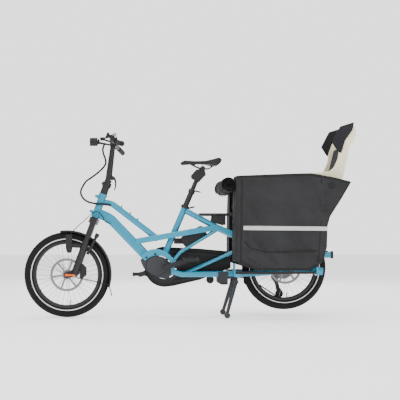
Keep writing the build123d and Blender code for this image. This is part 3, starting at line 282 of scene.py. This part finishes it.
for end, (centre, body) in wheel_places.items():
    dress(tyre_rubber(f"{end}_tread_rubber", centre), f"{end}_tyre")
    for side in (-1, 1):
        bpy.ops.mesh.primitive_torus_add(
            location=(centre.x, side * RING_Y, centre.z),
            rotation=(math.pi / 2, 0, 0),
            major_radius=RING_R,
            minor_radius=RING_BEAD,
            major_segments=128,
            minor_segments=8,
        )
        ring = bpy.context.active_object
        ring.name = f"{end}_reflective_ring_{'left' if side < 0 else 'right'}"
        bpy.ops.object.transform_apply(location=True, rotation=True, scale=True)
        bpy.ops.object.shade_smooth()
        ride_piece(ring, body, reflective)
    # the tyre valve is a plain stem that stands in from the rim
    bpy.ops.mesh.primitive_cylinder_add(
        vertices=16, radius=0.0032, depth=0.034, location=(centre.x + 0.018, 0, centre.z - 0.175)
    )
    valve = bpy.context.active_object
    valve.name = f"{end}_valve"
    bpy.ops.object.mode_set(mode="EDIT")
    bpy.ops.mesh.bevel(offset=0.0008, segments=2)
    bpy.ops.object.mode_set(mode="OBJECT")
    bpy.ops.object.transform_apply(location=True, rotation=True, scale=True)
    ride_piece(valve, body, dark_steel)

# ---------------------------------------------------------------- passenger enclosure
# Coated polyester cloth sewn into two side panels that hang from the rail round the rack down to
# the side boards, with a rolled front flap, a gathered lower pocket and a reflective tape.
bag_cloth = finish(
    "coated_polyester", (0.022, 0.022, 0.0235), 0.72, bump=0.5, spread=0.12, weave=260, shine=0.2
)
tape_cloth = finish("reflective_tape", (0.5, 0.5, 0.5), 0.38, metallic=0.25, bump=0.2, scale=1500)
binding = finish("edge_binding", (0.007, 0.007, 0.0075), 0.7, bump=0.5, weave=420)

front_edge = [(1014, 346), (1015, 440), (1017, 560), (1019, 690), (1021, 790), (1024, 860)]
rear_edge = [(1538, 345), (1564, 436), (1567, 560), (1583, 618), (1650, 722), (1711, 826)]
bottom_edge = [(1014, 346), (1044, 328), (1153, 294), (1300, 293), (1466, 293), (1503, 321), (1538, 345)]
top_edge = [(1024, 860), (1180, 867), (1330, 873), (1468, 877), (1600, 852), (1711, 826)]


def walk(points, t):
    """The place at share t of an edge's length."""
    lengths = [math.dist(a, b) for a, b in zip(points, points[1:])]
    left = t * sum(lengths)
    for a, b, length in zip(points, points[1:], lengths):
        if left <= length:
            f = left / length
            return (a[0] + (b[0] - a[0]) * f, a[1] + (b[1] - a[1]) * f)
        left -= length
    return points[-1]


def patch(u, v):
    """The side panel's outline filled in between its four edges."""
    b, t, f, r = walk(bottom_edge, u), walk(top_edge, u), walk(front_edge, v), walk(rear_edge, v)
    corners = (front_edge[0], rear_edge[0], front_edge[-1], rear_edge[-1])
    place = []
    for k in (0, 1):
        blend = (1 - v) * b[k] + v * t[k] + (1 - u) * f[k] + u * r[k]
        blend -= (1 - u) * (1 - v) * corners[0][k] + u * (1 - v) * corners[1][k]
        blend -= (1 - u) * v * corners[2][k] + u * v * corners[3][k]
        place.append(blend)
    return place


def fold(x, z, a, b, width, depth):
    """A soft crease along the line from a to b."""
    ax, az = a
    bx, bz = b
    length = math.dist(a, b)
    s = ((x - ax) * (bx - ax) + (z - az) * (bz - az)) / length
    if s < -width or s > length + width:
        return 0.0
    d = abs((x - ax) * (bz - az) - (z - az) * (bx - ax)) / length
    fade = max(0.0, min(1.0, (s + width) / (2 * width), (length + width - s) / (2 * width)))
    return depth * math.exp(-((d / width) ** 2)) * fade


CREASES = [
    ((1060, 760), (1190, 560), 16, 2.6),
    ((1120, 500), (1270, 330), 13, 3.4),
    ((1160, 460), (1330, 400), 12, 2.6),
    ((1290, 560), (1450, 390), 15, 2.2),
    ((1400, 480), (1530, 350), 12, 3.0),
    ((1480, 830), (1560, 640), 14, 2.6),
    ((1440, 700), (1560, 560), 13, 2.2),
    ((1080, 380), (1180, 300), 10, 3.2),
    ((1230, 780), (1400, 640), 22, 1.8),
    ((1530, 760), (1640, 780), 12, 2.0),
    ((1070, 650), (1090, 400), 10, 2.4),
]


def swell(x, z, u, v):
    """How far the cloth stands out from the flat panel, in millimetres."""
    edge = min(u, 1 - u, v, 1 - v)
    hang = 5.0 * min(1.0, edge * 9)
    soft = 5.0 * noise.noise(Vector((x / 150, 0, z / 210)))
    soft += 3.2 * noise.noise(Vector((x / 48, 4, z / 75)))
    creases = 2.3 * sum(fold(x, z, *crease) for crease in CREASES)
    gather = 0.0
    if 380 < z < 445 and 1180 < x < 1500:
        strength = 1 - abs(z - 412) / 33
        gather = 2.6 * strength * math.sin(x / 5.2 + 2 * math.sin(x / 31))
    return hang + (soft + gather) * min(1.0, edge * 14) - creases * min(1.0, edge * 14)


def grid_piece(name, columns, rows, place, thickness):
    """Cloth woven from a grid of points, with its thickness added on the inside."""
    verts = [place(i / columns, j / rows) for j in range(rows + 1) for i in range(columns + 1)]
    faces = []
    for j in range(rows):
        for i in range(columns):
            a = j * (columns + 1) + i
            faces.append((a, a + 1, a + columns + 2, a + columns + 1))
    mesh = bpy.data.meshes.new(name)
    mesh.from_pydata([tuple(v) for v in verts], [], faces)
    piece = bpy.data.objects.new(name, mesh)
    bpy.context.scene.collection.objects.link(piece)
    bpy.ops.object.select_all(action="DESELECT")
    bpy.context.view_layer.objects.active = piece
    piece.select_set(True)
    solid = piece.modifiers.new("thickness", "SOLIDIFY")
    solid.thickness = thickness
    solid.offset = 0
    bpy.ops.object.modifier_apply(modifier="thickness")
    bpy.ops.object.mode_set(mode="EDIT")
    bpy.ops.mesh.select_all(action="SELECT")
    bpy.ops.mesh.normals_make_consistent(inside=False)
    bpy.ops.object.mode_set(mode="OBJECT")
    bpy.ops.object.shade_smooth()
    piece.select_set(False)
    return piece


BAG_Y = 274
bag_pieces = []
for side, word in ((-1, "left"), (1, "right")):

    def side_place(u, v, side=side):
        x, z = patch(u, v)
        return at(x, side * (BAG_Y + swell(x, z, u, v) - 4), z)

    panel = grid_piece(f"enclosure_panel_{word}", 150, 130, side_place, 0.0022)
    bag_pieces.append(ride_piece(panel, "frame", bag_cloth))

    def front_place(u, v, side=side):
        x, z = walk(front_edge, v)
        y = BAG_Y - 176 * u
        wave = 5 * math.sin(u * 9 + v * 7) * math.sin(math.pi * u)
        round_off = 10 * (1 - math.cos(math.pi * min(1, u * 7))) / 2
        return at(x + 8 - round_off + wave * 0.6, side * (y - 1), z)

    apron = grid_piece(f"enclosure_front_{word}", 40, 70, front_place, 0.002)
    bag_pieces.append(ride_piece(apron, "frame", bag_cloth))

    def rear_place(u, v, side=side):
        x, z = walk(rear_edge, v)
        y = BAG_Y - 86 * u
        return at(x - 4 + 5 * math.sin(u * 6 + v * 9) * math.sin(math.pi * u), side * (y - 1), z)

    tail = grid_piece(f"enclosure_rear_{word}", 24, 70, rear_place, 0.002)
    bag_pieces.append(ride_piece(tail, "frame", bag_cloth))

    def strip(name, points, width, lift, material, side=side, word=word):
        """A flat strip sewn on the side panel along a line."""

        def place(u, v):
            x, z = walk(points, u)
            ahead = walk(points, min(1, u + 0.01))
            behind = walk(points, max(0, u - 0.01))
            run = Vector((ahead[0] - behind[0], ahead[1] - behind[1])).normalized()
            x -= run.y * width * (v - 0.5)
            z += run.x * width * (v - 0.5)
            shares = ((x - 1014) / 550, (z - 293) / 580)
            out = swell(x, z, min(0.97, max(0.03, shares[0])), min(0.97, max(0.03, shares[1])))
            return at(x, side * (BAG_Y + out - 4 + lift), z)

        piece = grid_piece(f"{name}_{word}", 120, 4, place, 0.0016)
        bag_pieces.append(ride_piece(piece, "frame", material))

    strip("reflective_tape", [(1062, 549), (1300, 547), (1566, 545)], 25, 1.8, tape_cloth)
    strip("front_zip", [(1046, 345), (1049, 560), (1052, 850)], 9, 1.6, binding)
    strip("rear_seam", [(1512, 345), (1524, 560), (1530, 845)], 7, 1.4, binding)
    strip("pocket_hem", [(1066, 470), (1110, 425), (1200, 404), (1500, 412)], 8, 2.0, binding)
    top_line = [(1030, 853), (1330, 865), (1468, 869), (1600, 846), (1700, 822)]
    strip("top_hem", top_line, 15, 1.4, binding)
    strip("bottom_hem", [(1020, 350), (1153, 303), (1460, 302), (1500, 328)], 10, 1.6, binding)
    bpy.ops.mesh.primitive_cylinder_add(
        vertices=48,
        radius=0.019,
        depth=0.004,
        location=at(1592, side * (BAG_Y + 3), 800),
        rotation=(math.pi / 2, 0, 0),
    )
    eyelet = bpy.context.active_object
    eyelet.name = f"eyelet_{word}"
    bpy.ops.object.mode_set(mode="EDIT")
    bpy.ops.mesh.select_all(action="SELECT")
    bpy.ops.mesh.bevel(offset=0.0012, segments=3)
    bpy.ops.object.mode_set(mode="OBJECT")
    bpy.ops.object.transform_apply(location=True, rotation=True, scale=True)
    bag_pieces.append(ride_piece(eyelet, "frame", binding))

# the front flap rolled up under the rail: a spiral of cloth tied by two straps


def roll_place(u, v):
    turn = 2 * math.pi * 4.6 * v
    squash = 1 + 0.08 * math.sin(u * 23) + 0.05 * math.sin(u * 57 + turn)
    r = (5 + 39 * v) * squash
    sag = 6 * math.sin(math.pi * u)
    return at(977 + r * math.cos(turn), -236 + 472 * u, 806 + r * 1.08 * math.sin(turn) - sag)


roll = grid_piece("rolled_flap", 90, 90, roll_place, 0.002)
bag_pieces.append(ride_piece(roll, "frame", bag_cloth))
for word, y in (("left", -150), ("right", 150)):
    bpy.ops.mesh.primitive_torus_add(
        location=at(977, y, 802),
        rotation=(math.pi / 2, 0, 0),
        major_radius=0.0475,
        minor_radius=0.002,
        major_segments=64,
        minor_segments=8,
    )
    tie = bpy.context.active_object
    tie.name = f"flap_tie_{word}"
    tie.scale = (1, 1, 6)
    bpy.ops.object.transform_apply(location=True, rotation=True, scale=True)
    bag_pieces.append(ride_piece(tie, "frame", binding))
for piece in bag_pieces:
    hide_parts("cargo_bag")

# ---------------------------------------------------------------- moulded and padded pieces
# The saddle's cover, the child seat's shell and its pads all have full, rounded edges.
saddle_skin = finish("saddle_skin", (0.008, 0.008, 0.0085), 0.5, bump=0.4, scale=600, spread=0.1)
cream_shell = finish("cream_shell", (0.87, 0.78, 0.55), 0.34, coat=0.15, bump=0.08, scale=700, spread=0.02)
pad_cloth = finish("padded_knit", (0.014, 0.015, 0.018), 0.85, bump=0.6, spread=0.12, weave=330)


def copied(node_name, name, keep=None):
    """A loose copy of a part, or of those of its shells that a test keeps."""
    piece = nodes[node_name].copy()
    piece.data = nodes[node_name].data.copy()
    piece.parent = None
    piece.name = name
    for key in list(piece.keys()):
        del piece[key]
    bpy.context.scene.collection.objects.link(piece)
    bpy.ops.object.select_all(action="DESELECT")
    bpy.context.view_layer.objects.active = piece
    piece.select_set(True)
    bpy.ops.object.mode_set(mode="EDIT")
    bpy.ops.mesh.select_all(action="SELECT")
    bpy.ops.mesh.remove_doubles(threshold=0.00002)
    bpy.ops.object.mode_set(mode="OBJECT")
    if keep:
        bpy.ops.mesh.separate(type="LOOSE")
        shells = list(bpy.context.selected_objects)
        kept = [s for s in shells if keep(s)]
        for shell in shells:
            if shell not in kept:
                bpy.data.objects.remove(shell)
        bpy.ops.object.select_all(action="DESELECT")
        for shell in kept:
            shell.select_set(True)
        bpy.context.view_layer.objects.active = kept[0]
        if len(kept) > 1:
            bpy.ops.object.join()
        piece = bpy.context.view_layer.objects.active
        piece.name = name
    return piece


def rounded(piece, voxel, passes, sub=0):
    """Edges rounded as moulding and padding leave them."""
    bpy.ops.object.select_all(action="DESELECT")
    bpy.context.view_layer.objects.active = piece
    piece.select_set(True)
    shape = piece.modifiers.new("even", "REMESH")
    shape.mode = "VOXEL"
    shape.voxel_size = voxel
    bpy.ops.object.modifier_apply(modifier="even")
    soft = piece.modifiers.new("soft", "SMOOTH")
    soft.factor = 0.5
    soft.iterations = passes
    bpy.ops.object.modifier_apply(modifier="soft")
    if sub:
        fine = piece.modifiers.new("fine", "SUBSURF")
        fine.levels = sub
        fine.render_levels = sub
        bpy.ops.object.modifier_apply(modifier="fine")
    bpy.ops.object.shade_smooth()
    piece.select_set(False)
    return piece


cover = rounded(copied("saddle", "saddle_padding", lambda s: s.dimensions.y > 0.06), 0.004, 14)
ride_piece(cover, "saddle_post", saddle_skin)
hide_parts("saddle")

shell = rounded(copied("child_seat_shell", "child_seat_moulding"), 0.0035, 12)
ride_piece(shell, "frame", cream_shell)
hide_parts("child_seat_shell")
pads = rounded(copied("child_seat_pad", "child_seat_padding"), 0.004, 10)
ride_piece(pads, "frame", pad_cloth)
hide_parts("child_seat_pad")

# ---------------------------------------------------------------- lights
# The headlight has a clear lens over its front face, and the rear light is one red lens.
lens_glass = finish("lens_glass", (0.85, 0.88, 0.9), 0.08, coat=1.0)
bpy.ops.mesh.primitive_uv_sphere_add(segments=48, ring_count=24, radius=0.0225, location=at(141, 0, 1083))
lens = bpy.context.active_object
lens.name = "headlight_lens"
lens.scale = (0.2, 1, 1)
bpy.ops.object.transform_apply(location=True, rotation=True, scale=True)
bpy.ops.object.shade_smooth()
ride_piece(lens, "bar_post", lens_glass)
red_lens = finish("red_lens", (0.5, 0.01, 0.01), 0.15, coat=1.0)
dress(red_lens, "tail_light")

# ---------------------------------------------------------------- control cables
# A sleeved bundle runs from the bar in a bow ahead of the head tube and back to the top tube, and
# one brake hose runs from the down tube to the fork.
bundle_sleeve = finish("cable_sleeve", (0.008, 0.008, 0.0085), 0.6, bump=0.5, weave=600)
LOWER_ROUTE = [
    (118, -30, 839),
    (82, -32, 788),
    (87, -34, 747),
    (118, -36, 713),
    (170, -38, 700),
    (232, -33, 697),
    (268, -22, 691),
]
UPPER_ROUTE = [
    (232, -18, 1070),
    (211, -20, 1038),
    (242, -22, 962),
    (232, -24, 931),
    (180, -28, 880),
    (118, -30, 839),
]
HOSE_ROUTE = [
    (268, -30, 577),
    (232, -38, 582),
    (217, -42, 628),
    (176, -46, 662),
    (96, -50, 585),
    (60, -56, 555),
    (22, -60, 512),
]


def route_piece(name, points, radius):
    """A round cord or rod whose smooth line follows a few points."""
    curve = bpy.data.curves.new(name, "CURVE")
    curve.dimensions = "3D"
    curve.bevel_depth = radius
    curve.bevel_resolution = 5
    curve.resolution_u = 16
    curve.use_fill_caps = True
    spline = curve.splines.new("NURBS")
    spline.points.add(len(points) - 1)
    for point, p in zip(spline.points, points):
        point.co = (*at(*p), 1)
    spline.order_u = 3
    spline.use_endpoint_u = True
    holder = bpy.data.objects.new(name + "_route", curve)
    bpy.context.scene.collection.objects.link(holder)
    bpy.context.view_layer.update()
    mesh = bpy.data.meshes.new_from_object(holder)
    bpy.data.objects.remove(holder)
    piece = bpy.data.objects.new(name, mesh)
    bpy.context.scene.collection.objects.link(piece)
    bpy.ops.object.select_all(action="DESELECT")
    bpy.context.view_layer.objects.active = piece
    piece.select_set(True)
    bpy.ops.object.shade_smooth()
    piece.data.materials.clear()
    piece.data.materials.append(bundle_sleeve)
    return piece


BUNDLE_R = 0.006
HOSE_R = 0.0025
lower = route_piece("bundle_lower", LOWER_ROUTE, BUNDLE_R)
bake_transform(lower)
upper = route_piece("bundle_upper", UPPER_ROUTE, BUNDLE_R)
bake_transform(upper)
hose = route_piece("brake_hose", HOSE_ROUTE, HOSE_R)
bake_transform(hose)
for piece in (lower, upper, hose):
    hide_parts("control_cables")

# ---------------------------------------------------------------- saddle rails
# Two bent steel rods under the saddle, held by the clamp on the sprung post.
RAIL = [(761, 949), (790, 934), (817, 922), (857, 918), (880, 919), (902, 937)]
RAIL_Y = 22
RAIL_R = 0.0035
for side, word in ((-1, "left"), (1, "right")):
    rail = route_piece(f"saddle_rail_{word}", [(x, side * RAIL_Y, z) for x, z in RAIL], RAIL_R)
    ride_piece(rail, "saddle_post", dark_steel)
    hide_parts("saddle")
